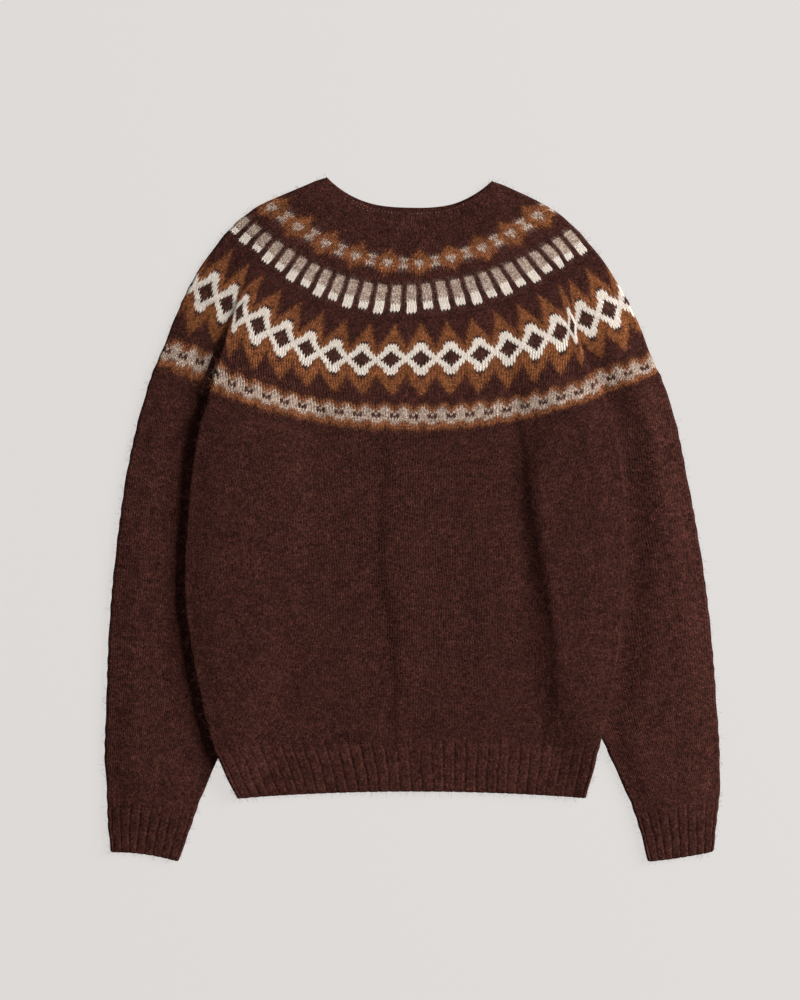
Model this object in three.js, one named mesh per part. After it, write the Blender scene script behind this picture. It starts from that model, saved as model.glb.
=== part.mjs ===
import * as THREE from "three";

// A fair isle jumper laid flat, front up and neck towards +Y. Millimetres, +Z up.
// It is knitted in the round, so every piece is a flattened tube: a front and a back
// layer that run into each other in a soft fold at either side. The body lies over the
// inner edges of both sleeves. The origin is on the surface that the jumper lies on,
// under the middle of its outline.

// Driving sizes
const WALL = 2.5;
const AIR = 0.8;
const LAYER = 2 * WALL + AIR;
const FOLD_RADIUS = LAYER / 2;
const FOLD_PLACES = [0.15, 0.5, 1];
const SEAM = 0.3;

// The body is lifted where it covers a sleeve, and comes down beside it.
const COVER_LIFT = LAYER + 0.9;
const COVER_MARGIN = 8;
const COVER_SLOPE = 28;
const COVER_SIDE = 110;

// The front puffs up a little from the back, and the lining follows most of it.
const PUFF = 1.6;
const LINING_FOLLOWS = 0.9;
const PUFF_EDGE = 15;
const PUFF_ABOVE_HEM = 45;

// Ribs. The crest and the start of the valley are shares of one rib's width.
const RIB_HEIGHT = 1.4;
const HEM_RIBS = { count: 35, crest: [0.13, 0.58], valley: 0.71 };
const CUFF_RIBS = { count: 9, crest: [0.15, 0.5], valley: 0.65 };

// The yoke ends in one curve, on which the body and the sleeves start.
const YOKE_EDGE = { middleX: -3, middleY: 87.5, bend: 0.00089 };

// The yoke's front steps up from sleeve to body along a crease below this level.
const CREASE_TOP = 223;
const CREASE_RISE = 7;
const CREASE_COVERED = 25;

// The neck edge of the back stands a little above that of the front.
const BACK_NECK_RISE = 3.5;

// Colours
const BROWN = new THREE.Color("rgb(62, 35, 31)");
const YOKE_BROWN = new THREE.Color("rgb(96, 62, 47)");
const WOOL = { roughness: 0.95, metalness: 0 };

function table(columns, ...rows) {
  const names = columns.split(" ");
  return rows.map((row) => Object.fromEntries(names.map((name, i) => [name, row[i]])));
}

const lerp = THREE.MathUtils.lerp;
const smoothstep = THREE.MathUtils.smoothstep;

function yokeEdgeY(x) {
  return YOKE_EDGE.middleY + YOKE_EDGE.bend * (x - YOKE_EDGE.middleX) ** 2;
}

// Rows run from fold to fold. Between them y = chord + bend (x - leftX)(x - rightX).
const ROW = "leftX leftY rightX rightY bend";

const NECKBAND_ROWS = table(
  ROW,
  [-92, 376, 85, 372, 0.00453],
  [-104, 372.5, 97, 368.2, 0.0042],
  [-115, 368, 108, 363.5, 0.00385],
);

// The creases are given as a share of the row's width.
const YOKE_ROWS = table(
  ROW + " leftCrease rightCrease",
  [-115, 368, 108, 363.5, 0.00385, 0.08, 0.94],
  [-162, 348, 150, 343, 0.00265, 0.08, 0.94],
  [-201, 318.5, 191, 307.7, 0.00174, 0.08, 0.92],
  [-244.5, 258, 234, 248, 0.00137, 0.106, 0.876],
  [-287, yokeEdgeY(-287), 274, yokeEdgeY(274), YOKE_EDGE.bend, 0.112, 0.889],
);

const BODY_ROWS = table(
  ROW,
  [-224.4, yokeEdgeY(-224.4), 212.5, yokeEdgeY(212.5), YOKE_EDGE.bend],
  [-235, 102, 223, 100, 0.0007],
  [-243, 52, 231, 55, 0.00055],
  [-247, 10, 235, 10, 0.00042],
  [-251, -45, 235, -45, 0.0003],
  [-250.5, -95, 232, -95, 0.0002],
  [-243.5, -145, 227, -145, 0.0001],
  [-235, -190, 220, -190, 0.00003],
  [-227.5, -222, 213.5, -222, -0.00005],
  [-218.5, -254, 205, -252.5, -0.00015],
);

const HEM_ROWS = table(
  ROW,
  [-218.5, -254, 205, -252.5, -0.00015],
  [-209, -273, 200.5, -271, -0.00017],
  [-201.5, -290, 196, -289, -0.00018],
  [-193.5, -306.8, 191, -306.5, -0.00019],
);

// The sleeve on the left of the picture is the wearer's right.
const SLEEVE_RIGHT_ROWS = table(
  ROW,
  [-287, yokeEdgeY(-287), -199, yokeEdgeY(-199), YOKE_EDGE.bend],
  [-302, 108, -168, 88, 0.0006],
  [-315, 48, -160, 36, 0.0004],
  [-324, -15, -163, -20, 0.0002],
  [-331, -80, -170, -82, 0],
  [-335, -140, -180, -142, 0],
  [-337, -200, -195, -203, 0],
  [-339, -259, -213, -260, 0],
  [-336.5, -299, -234, -310, 0],
);

const SLEEVE_LEFT_ROWS = table(
  ROW,
  [196.5, yokeEdgeY(196.5), 274, yokeEdgeY(274), YOKE_EDGE.bend],
  [160, 88, 289.5, 108, 0.0006],
  [151, 36, 302.5, 45, 0.0004],
  [156, -20, 314, -17, 0.0002],
  [164, -82, 323.5, -80, 0],
  [175, -142, 330, -140, 0],
  [192, -203, 334.5, -200, 0],
  [212, -250, 338, -253, 0],
  [240, -312, 338.5, -303, 0],
);

const CUFF_RIGHT_ROWS = table(
  ROW,
  [-336.5, -299, -234, -310, 0],
  [-335.5, -334, -246, -345, -0.001],
  [-332.5, -366, -257.5, -376.5, -0.0018],
);

const CUFF_LEFT_ROWS = table(
  ROW,
  [240, -312, 338.5, -303, 0],
  [249.5, -340, 335, -333, 0.0006],
  [259, -376.5, 331.5, -365, 0.00125],
);

// Soft troughs down the body's front, each a line from its top to its bottom.
const TROUGHS = table(
  "topX topY bottomX bottomY width depth",
  [-135, 100, -135, -225, 24, 0.8],
  [-29, 90, -21, -275, 22, 1.1],
  [71, -5, 70, -225, 18, 0.7],
  [122, 105, 150, -165, 20, 1.6],
  [150, -165, 126, -280, 20, 1.2],
);
const TROUGH_FADE = 35;

function rowPoint(row, s) {
  const x = lerp(row.leftX, row.rightX, s);
  const chord = lerp(row.leftY, row.rightY, s);
  return [x, chord + row.bend * (x - row.leftX) * (x - row.rightX)];
}

function rowWidth(row) {
  return Math.hypot(row.rightX - row.leftX, row.rightY - row.leftY);
}

// Adds smooth rows between the given ones.
function refine(rows, parts) {
  const value = (name, i) => rows[Math.min(Math.max(i, 0), rows.length - 1)][name];
  const between = (name, i, t) => {
    const [a, b, c, d] = [-1, 0, 1, 2].map((step) => value(name, i + step));
    const slopes = [(c - a) / 2, (d - b) / 2];
    const cubic = 2 * b - 2 * c + slopes[0] + slopes[1];
    const square = -3 * b + 3 * c - 2 * slopes[0] - slopes[1];
    return ((cubic * t + square) * t + slopes[0]) * t + b;
  };
  const fine = [];
  for (let i = 0; i < rows.length - 1; i += 1) {
    for (let part = 0; part < parts; part += 1) {
      const names = Object.keys(rows[i]);
      fine.push(Object.fromEntries(names.map((name) => [name, between(name, i, part / parts)])));
    }
  }
  fine.push(rows[rows.length - 1]);
  return fine;
}

// Moves a row down by a distance, to keep a seam open.
function lowered(row, distance) {
  return { ...row, leftY: row.leftY - distance, rightY: row.rightY - distance };
}

function openSeam(rows) {
  return [lowered(rows[0], SEAM), ...rows.slice(1)];
}

// Distance from a point to a tube's outline, 0 inside it.
function distanceOutside(rows, x, y) {
  const left = rows.map((row) => [row.leftX, row.leftY]);
  const right = rows.map((row) => [row.rightX, row.rightY]);
  const outline = [...left, ...right.reverse()];
  let inside = false;
  let nearest = Infinity;
  outline.forEach(([ax, ay], i) => {
    const [bx, by] = outline[(i + 1) % outline.length];
    if (ay > y !== by > y && x < ax + ((bx - ax) * (y - ay)) / (by - ay)) inside = !inside;
    const along = ((x - ax) * (bx - ax) + (y - ay) * (by - ay)) / ((bx - ax) ** 2 + (by - ay) ** 2);
    const t = Math.min(Math.max(along, 0), 1);
    nearest = Math.min(nearest, Math.hypot(x - lerp(ax, bx, t), y - lerp(ay, by, t)));
  });
  return inside ? 0 : nearest;
}

// How far the body is lifted by the sleeve that it lies on.
function coverLift(x, y) {
  const apart = Math.min(
    distanceOutside(SLEEVE_RIGHT_ROWS, x, y),
    distanceOutside(SLEEVE_LEFT_ROWS, x, y),
  );
  return COVER_LIFT * (1 - smoothstep(apart, COVER_MARGIN, COVER_MARGIN + COVER_SLOPE));
}

// The yoke carries the body's lift upwards along the creases, less and less.
function yokeLift(x, y, row, s) {
  const last = YOKE_ROWS[YOKE_ROWS.length - 1];
  const middleY = rowPoint(row, 0.5)[1];
  const fade = smoothstep(CREASE_TOP - middleY, 0, CREASE_TOP - YOKE_EDGE.middleY);
  if (fade === 0) return 0;
  const width = rowWidth(row);
  const fromLeft = (s - row.leftCrease) * width;
  const fromRight = (row.rightCrease - s) * width;
  const rise = smoothstep(Math.min(fromLeft, fromRight), -CREASE_RISE, 0);
  const leftSide = fromLeft < fromRight;
  const edgeX = leftSide
    ? lerp(last.leftX, last.rightX, last.leftCrease) + fromLeft
    : lerp(last.leftX, last.rightX, last.rightCrease) - fromRight;
  return fade * rise * coverLift(edgeX, yokeEdgeY(edgeX) - SEAM);
}

function troughDepth(x, y) {
  return TROUGHS.reduce((depth, trough) => {
    const t = (trough.topY - y) / (trough.topY - trough.bottomY);
    const middle = lerp(trough.topX, trough.bottomX, THREE.MathUtils.clamp(t, 0, 1));
    const past = Math.max(y - trough.topY, trough.bottomY - y, 0);
    const shape = Math.exp(-(((x - middle) / trough.width) ** 2));
    return Math.max(depth, trough.depth * shape * (1 - smoothstep(past, 0, TROUGH_FADE)));
  }, 0);
}

function yokePuff(x, y) {
  return PUFF - troughDepth(x, y);
}

function bodyPuff(x, y) {
  const aboveHem = y - BODY_ROWS[BODY_ROWS.length - 1].leftY;
  return (PUFF - troughDepth(x, y)) * smoothstep(aboveHem, -PUFF_EDGE, PUFF_ABOVE_HEM);
}

// A sleeve is pressed flat under the body.
function sleevePuff(x, y) {
  return PUFF * smoothstep(distanceOutside(BODY_ROWS, x, y), 2, PUFF_EDGE);
}

// Turns stops, each a place from the left end and the steps that lead to it, into
// column places from 0 to 1.
function columns(width, leftStops, middleSteps, rightStops) {
  const places = [0];
  const advance = (place, steps) => {
    const start = places[places.length - 1];
    for (let i = 1; i <= steps; i += 1) places.push(lerp(start, place, i / steps));
  };
  leftStops.forEach(([place, steps]) => advance(place / width, steps));
  const mirrored = rightStops.map(([place]) => 1 - place / width).reverse();
  const steps = rightStops.map(([, count]) => count).reverse();
  advance(mirrored[0], middleSteps);
  mirrored.slice(1).forEach((place, i) => advance(place, steps[i]));
  advance(1, steps[steps.length - 1]);
  return places;
}

// A fold takes three columns, closer together at its outer edge.
const FOLD_STOPS = FOLD_PLACES.map((place) => [place * FOLD_RADIUS, 1]);
const LINING_STOPS = [[WALL, 1]];

function evenColumns(steps) {
  return (row) => columns(rowWidth(row), FOLD_STOPS, steps, FOLD_STOPS);
}

function evenLining(steps) {
  return (row) => columns(rowWidth(row), LINING_STOPS, steps, LINING_STOPS);
}

// Closer columns where the body comes down beside the sleeves.
function bodyColumns(stops, coverSteps, middleSteps) {
  const sides = [...stops, [COVER_SIDE, coverSteps]];
  return (row) => columns(rowWidth(row), sides, middleSteps, sides);
}

// Closer columns along the creases of the yoke.
function yokeColumns(stops, sleeveSteps, riseSteps, coverSteps, middleSteps) {
  const side = (crease) => [
    ...stops,
    [crease - CREASE_RISE, sleeveSteps],
    [crease, riseSteps],
    [crease + CREASE_COVERED + COVER_MARGIN + COVER_SLOPE, coverSteps],
  ];
  return (row) => {
    const width = rowWidth(row);
    const left = side(row.leftCrease * width);
    const right = side((1 - row.rightCrease) * width);
    return columns(width, left, middleSteps, right);
  };
}

// Four columns to a rib: up, along its crest, down, and along the valley.
function ribColumns({ count, crest, valley }) {
  return (row) => {
    const width = rowWidth(row);
    const edge = FOLD_RADIUS / width;
    const phases = [0, ...crest, valley];
    const ribs = Array.from({ length: count }, (_, i) => phases.map((phase) => (i + phase) / count));
    const between = ribs.flat().slice(1).map((place) => lerp(edge, 1 - edge, place));
    const fold = [0, ...FOLD_PLACES.map((place) => place * edge)];
    return [...fold, ...between, ...fold.map((place) => 1 - place).reverse()];
  };
}

function ribHeight({ count, crest }, row, s) {
  const edge = FOLD_RADIUS / rowWidth(row);
  const place = ((s - edge) / (1 - 2 * edge)) * count;
  const phase = place - Math.floor(place + 1e-6);
  const onCrest = phase > crest[0] - 0.01 && phase < crest[1] + 0.01;
  return place > 0 && place < count && onCrest ? RIB_HEIGHT : 0;
}

const none = () => 0;

// One flattened tube. side is 1 on the front and -1 on the back.
function tubePoint(piece, row, rowShare, s, side, lining) {
  const width = rowWidth(row);
  const inset = lining ? WALL / width : 0;
  const place = lining ? lerp(inset, 1 - inset, s) : s;
  const [x, y] = rowPoint(row, place);
  const lift = piece.lift(x, y, row, place);
  const fromFold = Math.min(place, 1 - place) * width;
  const inFold = 1 - Math.min(fromFold, FOLD_RADIUS) / FOLD_RADIUS;
  const round = Math.sqrt(1 - inFold ** 2);
  const puff = side > 0 ? piece.puff(x, y) * smoothstep(fromFold, 0, PUFF_EDGE) : 0;
  const atEnd = s === 0 || s === 1;
  let z = lift + LAYER / 2;
  if (lining && !atEnd) z += side > 0 ? AIR / 2 + LINING_FOLLOWS * puff : -AIR / 2;
  if (!lining) z += side * (LAYER / 2) * round + puff;
  if (!lining && side > 0) z += piece.relief(row, s);
  const shift = side < 0 ? piece.backShift * (1 - rowShare) * 4 * place * (1 - place) : 0;
  return { x, y: y + shift, z, key: side > 0 ? s : 2 - s };
}

function loop(piece, row, rowShare, frontPlaces, backPlaces, lining) {
  const front = frontPlaces.map((s) => tubePoint(piece, row, rowShare, s, 1, lining));
  const betweenFolds = backPlaces.slice(1, -1).reverse();
  return [...front, ...betweenFolds.map((s) => tubePoint(piece, row, rowShare, s, -1, lining))];
}

function tube(name, rows, options) {
  const piece = { lift: none, puff: none, relief: none, backShift: 0, color: BROWN, ...options };
  const share = (i) => i / (rows.length - 1);
  const outer = rows.map((row, i) =>
    loop(piece, row, share(i), piece.front(row), piece.back(row), false));
  const lining = rows.map((row, i) =>
    loop(piece, row, share(i), piece.lining(row), piece.lining(row), true));
  const positions = [];
  const triangles = [];
  const number = (loops) => loops.map((points) => points.map((point) => {
    positions.push(point.x, point.y, point.z);
    return positions.length / 3 - 1;
  }));
  const outerIds = number(outer);
  const liningIds = number(lining);
  const face = (a, b, c, flipped) => triangles.push(...(flipped ? [a, c, b] : [a, b, c]));

  const skin = (ids, flipped) => {
    for (let i = 0; i < ids.length - 1; i += 1) {
      ids[i].forEach((a, j) => {
        const next = (j + 1) % ids[i].length;
        face(a, ids[i + 1][j], ids[i + 1][next], flipped);
        face(a, ids[i + 1][next], ids[i][next], flipped);
      });
    }
  };
  skin(outerIds, false);
  skin(liningIds, true);

  // An end cap joins the outer loop to the lining, whichever comes next going round.
  const cap = (i, flipped) => {
    const [o, l] = [outerIds[i], liningIds[i]];
    const nextKey = (points, j) => (j + 1 < points.length ? points[j + 1].key : 2);
    let [j, k] = [0, 0];
    while (j < o.length || k < l.length) {
      const outerFirst = nextKey(outer[i], j) <= nextKey(lining[i], k);
      if (j < o.length && (k >= l.length || outerFirst)) {
        face(o[j], o[(j + 1) % o.length], l[k % l.length], flipped);
        j += 1;
      } else {
        face(o[j % o.length], l[(k + 1) % l.length], l[k], flipped);
        k += 1;
      }
    }
  };
  cap(0, false);
  cap(rows.length - 1, true);

  const geometry = new THREE.BufferGeometry();
  geometry.setAttribute("position", new THREE.Float32BufferAttribute(positions, 3));
  geometry.setIndex(triangles);
  geometry.computeVertexNormals();
  const material = new THREE.MeshStandardMaterial({ ...WOOL, color: piece.color });
  const mesh = new THREE.Mesh(geometry, material);
  mesh.name = name;
  return mesh;
}

function neckband() {
  return tube("neckband", NECKBAND_ROWS, {
    front: evenColumns(26),
    back: evenColumns(26),
    lining: evenLining(22),
    backShift: BACK_NECK_RISE,
  });
}

function yoke() {
  return tube("yoke", openSeam(refine(YOKE_ROWS, 2)), {
    front: yokeColumns(FOLD_STOPS, 4, 2, 5, 22),
    back: yokeColumns(FOLD_STOPS, 2, 2, 5, 16),
    lining: yokeColumns(LINING_STOPS, 2, 2, 5, 14),
    lift: yokeLift,
    puff: yokePuff,
    color: YOKE_BROWN,
  });
}

function body() {
  return tube("body", openSeam(BODY_ROWS), {
    front: bodyColumns(FOLD_STOPS, 8, 22),
    back: bodyColumns(FOLD_STOPS, 7, 10),
    lining: bodyColumns(LINING_STOPS, 7, 10),
    lift: coverLift,
    puff: bodyPuff,
  });
}

function hemRib() {
  return tube("hem_rib", openSeam(HEM_ROWS), {
    front: ribColumns(HEM_RIBS),
    back: bodyColumns(FOLD_STOPS, 6, 4),
    lining: bodyColumns(LINING_STOPS, 6, 4),
    lift: coverLift,
    relief: (row, s) => ribHeight(HEM_RIBS, row, s),
  });
}

function sleeve(name, rows) {
  return tube(name, openSeam(rows), {
    front: evenColumns(9),
    back: evenColumns(4),
    lining: evenLining(7),
    puff: sleevePuff,
  });
}

function cuff(name, rows) {
  return tube(name, openSeam(rows), {
    front: ribColumns(CUFF_RIBS),
    back: evenColumns(3),
    lining: evenLining(4),
    relief: (row, s) => ribHeight(CUFF_RIBS, row, s),
  });
}

const group = new THREE.Group();
group.add(
  neckband(),
  yoke(),
  body(),
  hemRib(),
  sleeve("sleeve_right", SLEEVE_RIGHT_ROWS),
  sleeve("sleeve_left", SLEEVE_LEFT_ROWS),
  cuff("cuff_right", CUFF_RIGHT_ROWS),
  cuff("cuff_left", CUFF_LEFT_ROWS),
);

export default group;
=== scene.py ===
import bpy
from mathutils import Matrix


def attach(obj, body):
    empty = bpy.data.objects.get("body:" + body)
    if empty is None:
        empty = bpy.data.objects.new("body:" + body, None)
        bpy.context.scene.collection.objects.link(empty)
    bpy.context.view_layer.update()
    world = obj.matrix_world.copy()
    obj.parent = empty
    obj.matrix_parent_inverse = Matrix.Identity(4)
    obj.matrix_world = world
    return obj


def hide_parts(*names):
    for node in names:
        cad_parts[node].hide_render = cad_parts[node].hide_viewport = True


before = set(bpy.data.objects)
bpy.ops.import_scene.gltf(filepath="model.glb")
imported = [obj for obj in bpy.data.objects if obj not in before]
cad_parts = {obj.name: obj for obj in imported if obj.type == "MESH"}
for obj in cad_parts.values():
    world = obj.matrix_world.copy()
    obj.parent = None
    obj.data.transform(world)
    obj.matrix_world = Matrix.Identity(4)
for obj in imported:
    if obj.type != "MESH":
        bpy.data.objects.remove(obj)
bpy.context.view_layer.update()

import math

import bpy
import numpy as np
from mathutils import Vector

# A fair isle jumper laid flat, front up, neck towards +Y. Tables and sizes are in
# millimetres, and MM turns them into metres.
MM = 0.001

# The cloth: a wall of wool on either side of the air in a flattened tube
WALL = 2.5
AIR = 0.8
LAYER = 2 * WALL + AIR
FOLD_RADIUS = LAYER / 2

# The body is lifted by each sleeve that it lies on. It comes down more gently in its
# lower part and on its left side, and is lifted more beside its left edge. A pair gives
# the places between which such a change comes in.
COVER_LIFT = LAYER + 0.9
COVER_MARGIN = 8
COVER_SLOPE = 28
GENTLER_SLOPE = 24
GENTLER_BELOW = (60, 180)
GENTLER_ON_LEFT = (0, 50)
LEFT_LIFT = 2.6
LEFT_LIFT_ACROSS = (140, 235)
UPPER_LEFT_LIFT = 1.8
UPPER_LIFT_ABOVE = (0, 100)

# The front puffs up from its folds, and its lining follows most of that.
PUFF = 3.0
PUFF_EDGE = 34
LINING_FOLLOWS = 0.9
NECK_PUFF_START = -4
HEM_PUFF_FADE = (-35, 45)
SLEEVE_PUFF_START = 2
SLEEVE_PUFF_REACH = 40
RIGHT_SLEEVE_PUFF_REACH = 90
LEFT_SLEEVE_PUFF = 2.2
LEFT_SLEEVE_ACROSS = (0, 200)
LEFT_PUFF_ABOVE_CUFF = (-280, -180)
FINE_LUMP = 0.12
BROAD_LUMP = 0.1
EDGE_WAVE = 0.35

# The neck. Its back edge stands above its front one.
BACK_NECK_RISE = 6.5
NECK_SQUARENESS = 30

# Stitches and 2x2 ribs. RIB_VALLEY is a share of a rib, and a fade is where the valleys
# come in below the start of the ribs.
STITCH_WIDTH = 3.2
STITCH_HEIGHT = 2.63
RIB_STITCHES = 4
RIB_HEIGHT = 0.95
RIB_VALLEY = 0.12
RIB_SPREAD = 0.08
RIB_UNEVENNESS = 0.2
RIB_WAVER = 0.05
RIB_FINE_WAVER = 0.03
HEM_RIB_FADE = (-24, 14)
CUFF_RIB_FADE = (0, 26)
HEM_RIBS = 35
CUFF_RIBS = 9

# Colours, sRGB 0 to 255
BROWN = (65, 36, 31)
DARK = (70, 44, 37)
OCHRE = (131, 79, 48)
HEATHER = (178, 154, 138)
CREAM = (240, 227, 213)
LINKING = (150, 128, 118)
FLOOR = (224, 220, 217)

# Rows run from fold to fold, with y = chord + bend (x - leftX)(x - rightX).
# Columns: leftX, leftY, rightX, rightY, bend
LEFT_X, LEFT_Y, RIGHT_X, RIGHT_Y, BEND = range(5)
NECKBAND_ROWS = np.array([
    (-92, 376, 85, 372, 0.00453),
    (-104, 372.5, 97, 368.2, 0.0042),
    (-115, 368, 108, 363.5, 0.00385),
])
BODY_ROWS = np.array([
    (-224.4, 131.1, 212.5, 128.8, 0.00089),
    (-235, 102, 223, 100, 0.0007),
    (-243, 52, 231, 55, 0.00055),
    (-247, 10, 235, 10, 0.00042),
    (-251, -45, 235, -45, 0.0003),
    (-250.5, -95, 232, -95, 0.0002),
    (-243.5, -145, 227, -145, 0.0001),
    (-235, -190, 220, -190, 0.00003),
    (-227.5, -222, 213.5, -222, -0.00005),
    (-218.5, -254, 205, -252.5, -0.00015),
])
HEM_ROWS = np.array([
    (-218.5, -254, 205, -252.5, -0.00015),
    (-209, -273, 200.5, -271, -0.00017),
    (-201.5, -290, 196, -289, -0.00018),
    (-193.5, -306.8, 191, -306.5, -0.00019),
])
SLEEVE_RIGHT_ROWS = np.array([
    (-287, 159.3, -199, 121.7, 0.00089),
    (-302, 108, -168, 88, 0.0006),
    (-315, 48, -160, 36, 0.0004),
    (-324, -15, -163, -20, 0.0002),
    (-331, -80, -170, -82, 0),
    (-335, -140, -180, -142, 0),
    (-337, -200, -195, -203, 0),
    (-339, -259, -213, -260, 0),
    (-336.5, -299, -234, -310, 0),
])
SLEEVE_LEFT_ROWS = np.array([
    (196.5, 122.9, 274, 155.8, 0.00089),
    (160, 88, 289.5, 108, 0.0006),
    (151, 36, 302.5, 45, 0.0004),
    (156, -20, 314, -17, 0.0002),
    (164, -82, 323.5, -80, 0),
    (175, -142, 330, -140, 0),
    (192, -203, 334.5, -200, 0),
    (212, -250, 338, -253, 0),
    (240, -312, 338.5, -303, 0),
])
CUFF_RIGHT_ROWS = np.array([
    (-336.5, -299, -234, -310, 0),
    (-335.5, -334, -246, -345, -0.001),
    (-332.5, -366, -257.5, -376.5, -0.0018),
])
CUFF_LEFT_ROWS = np.array([
    (240, -312, 338.5, -303, 0),
    (249.5, -340, 335, -333, 0.0006),
    (259, -376.5, 331.5, -365, 0.00125),
])

# The yoke's rows also say where the armhole creases cross them, as a share of the row,
# how far the pattern is drawn up outside and down inside the left crease, and up
# outside the right one, how much cloth each crease swallows, how much wider the
# stitches are in the middle, and how far the pattern sags inside the left crease.
# Columns: leftX, leftY, rightX, rightY, middleY, left and right crease, left up,
# left down, right up, left and right swallowed, wider, sag
YOKE_ROWS = np.array([
    (-115, 368, 108, 363.5, 318, 0.08, 0.94, 0, 0, 0, 0, 0, 0, 0),
    (-162, 348, 150, 343, 281, 0.08, 0.94, 0, 0, 0, 0, 0, 0, 1.5),
    (-184.8, 333.5, 177, 322, 260.2, 0.08, 0.94, 0, 0, 0, 0, 0, 0.04, 6),
    (-203, 316.5, 197, 300, 229.5, 0.085, 0.92, 1, 0, 0, 2, 7, 0.08, 8.5),
    (-223.3, 290.8, 217.5, 272, 202.5, 0.095, 0.892, 2, 0, 2, 12, 20, 0.1, 9.5),
    (-244.5, 258, 237, 240, 175.5, 0.106, 0.871, 3, -1, 3, 18, 28, 0.105, 9.5),
    (-261.5, 220.8, 253, 204, 144.2, 0.109, 0.869, 5, 1, 5, 14, 16, 0.06, 7.5),
    (-274.7, 187.7, 266, 171, 112.8, 0.111, 0.874, 8, 3, 6, 2, 3, 0.01, 4.5),
    (-287, 159.3, 274, 155.8, 87.5, 0.112, 0.889, 0, 0, 0, 2, 3, 0, 0),
])
# The yoke's columns, once its bend stands before its middle height
(MIDDLE_Y, LEFT_CREASE, RIGHT_CREASE, LEFT_UP, LEFT_DOWN, RIGHT_UP, LEFT_SWALLOWED,
 RIGHT_SWALLOWED, WIDER, SAG) = range(5, 15)

# Below CREASE_TOP the yoke steps up over CREASE_RISE. The rest are distances from a crease
# within which the pattern turns, is drawn, is swallowed or sags.
CREASE_TOP = 223
CREASE_RISE = 5
CREASE_EDGE = 4
DRAWN_OUTSIDE = 55
DRAWN_INSIDE = 90
SWALLOWED_WITHIN = 7
SAG_START = -15
SAG_WIDTH = 200

# The curve in which the yoke ends, and on which the body and the sleeves start
YOKE_EDGE_X = -3
YOKE_EDGE_Y = 87.5
YOKE_EDGE_BEND = 0.00089

# A sleeve's distance from the body's outline, for each step out along the yoke's row
AWAY_FROM_BODY = 1.08

# Soft creases down the front, each from its lower end up: a trough along the left of the
# line runs into a ridge along its right.
# Columns: x, y, width, depth
CREASES = (
    ((-130, -250, 16, 0), (-133, -200, 18, 0.4), (-139, -90, 18, 0.6), (-140, 40, 18, 0.5),
     (-138, 110, 18, 0)),
    ((-21, -300, 9, 0), (-22, -258, 9, 0.9), (-17, -185, 11, 1.2), (-24, -112, 12, 1.4),
     (-34, -57, 12, 1.4), (-31, 64, 13, 1.1), (-28, 115, 13, 0)),
    ((70, -255, 14, 0), (70, -200, 14, 0.35), (66, -90, 14, 0.5), (64, 9, 14, 0.3),
     (62, 60, 14, 0)),
    ((130, -298, 9, 0), (142, -258, 10, 0.9), (156, -203, 11, 1.2), (154, -148, 11, 1.4),
     (147, -90, 10, 1.5), (137, -46, 9, 1.5), (128, 17, 8, 1.6), (122, 86, 8, 1.6),
     (117, 118, 8, 0.8), (112, 160, 9, 0)),
)
CREASE_STEEPNESS = 2.2
CREASE_REACH = 2.6

# The yoke's bands from the neckband down. Middle heights are along the row's middle, and
# anchor is the x of one motif's middle.
# Columns: name, top middleY, knitted rows, stitches across the front and the back, anchor
BANDS = (
    ("plain", 318, 8, 88, 84, 0),
    ("spots", 297, 10, 97, 93, 7.6),
    ("plain", 270.2, 4, 97, 93, 7.6),
    ("bars", 260.2, 12, 130, 130, -1.3),
    ("plain", 229.5, 3, 130, 130, -1.3),
    ("diamonds", 221.4, 32, 186, 174, 9.3),
    ("plain", 134.7, 3, 186, 174, 9.3),
    ("flecks", 127.5, 10, 167, 169, 1.2),
    ("plain", 100.7, 5, 167, 169, 1.2),
)
PERIODS = {"spots": 10, "bars": 5, "diamonds": 10, "flecks": 6}

# Charts from the middle of a motif outwards: . brown, o ochre, w heather, c cream, k dark
SPOTS = ("o.....", "oo....", "ooo...", "ooooww", "wwooow",
         "wwooow", "woooww", "oooo..", "oo....", "o.....")
FLECKS = ("..oo", ".oow", "ooww", "owww", "wkww", "kkww", "wwww", "wwoo", "oooo", "ooo.")
LONG_BAR = "wwwwwwwccccc"
SHORT_BAR = "wwwwwwwwccc."
BAR_HALF_WIDTH = 1

# The diamonds' half widths, in stitches from the middle, row by row
OCHRE_ABOVE = (-1, -1, 0, 0, 1, 1, 2, 2, 3, 3, 4, 4, 5, 5, 5, 5)
OCHRE_BELOW = (5, 5, 5, 5, 5, 5, 4, 4, 3, 3, 2, 1, 1, 0)
CREAM_OUTER = (5, 5, 4, 3, 2, 2, 1)
DARK_CENTRE = {-3: 0, -2: 1, -1: 2, 0: 3, 1: 2, 2: 1, 3: 0}
DIAMOND_MIDDLE = 16
DARK_SPOTS = {9: 1, 23: 1, 24: 0}


def linear(color):
    """An sRGB colour of 0 to 255 as linear light with alpha."""
    c = np.array(color) / 255
    light = np.where(c <= 0.04045, c / 12.92, ((c + 0.055) / 1.055) ** 2.4)
    return (*light.tolist(), 1.0)


def smooth(x, low, high):
    t = np.clip((x - low) / (high - low), 0, 1)
    return t * t * (3 - 2 * t)


def along_table(table, t):
    """The table's columns at fractional row numbers t, on a smooth curve through its rows."""
    last = len(table) - 1
    t = np.clip(t, 0, last)
    i = np.minimum(t.astype(int), last - 1)
    f = (t - i)[:, None]
    a, b, c, d = (table[np.clip(i + step, 0, last)] for step in (-1, 0, 1, 2))
    start, end = (c - a) / 2, (d - b) / 2
    square = -3 * b + 3 * c - 2 * start - end
    return (((2 * b - 2 * c + start + end) * f + square) * f + start) * f + b


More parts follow.
